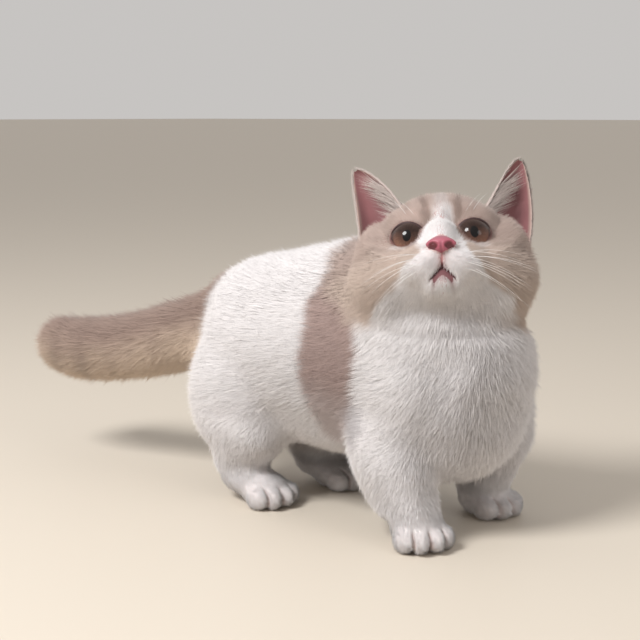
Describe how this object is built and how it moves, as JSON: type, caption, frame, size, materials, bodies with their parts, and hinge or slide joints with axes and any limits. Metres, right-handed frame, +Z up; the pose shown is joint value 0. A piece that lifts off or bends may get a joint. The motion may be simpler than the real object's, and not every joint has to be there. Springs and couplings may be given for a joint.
{
  "type": "munchkin cat",
  "caption": "Life-size still model of a standing short-legged kitten, head turned and lifted, tail held out behind, white coat with fawn patches.",
  "frame": {"origin": "on the floor, under the middle of the whole kitten", "axes": "+Z up, -Y the way the body faces, +X towards its left side"},
  "size_m": [0.1002, 0.306, 0.175],
  "materials": {
    "white_coat": "short plush white coat",
    "fawn_coat": "short plush pale fawn coat with faint darker marks",
    "ear_skin": "fawn outside, bare pink skin and pale wisps inside",
    "nose_leather": "moist pink leather",
    "eye": "wet, hazel brown iris and black pupil"
  },
  "bodies": {
    "root": {"head": "fawn_coat", "nose": "nose_leather", "eye_left": "eye", "eye_right": "eye", "ear_left": "ear_skin", "ear_right": "ear_skin", "neck": "white_coat", "chest": "white_coat", "barrel": "white_coat", "hindquarters": "white_coat", "front_leg_left": "white_coat", "front_leg_right": "white_coat", "front_paw_left": "white_coat", "front_paw_right": "white_coat", "hind_leg_left": "white_coat", "hind_leg_right": "white_coat", "hind_paw_left": "white_coat", "hind_paw_right": "white_coat", "tail_base": "fawn_coat", "tail_middle": "fawn_coat", "tail_tip": "fawn_coat"}
  },
  "joints": []
}
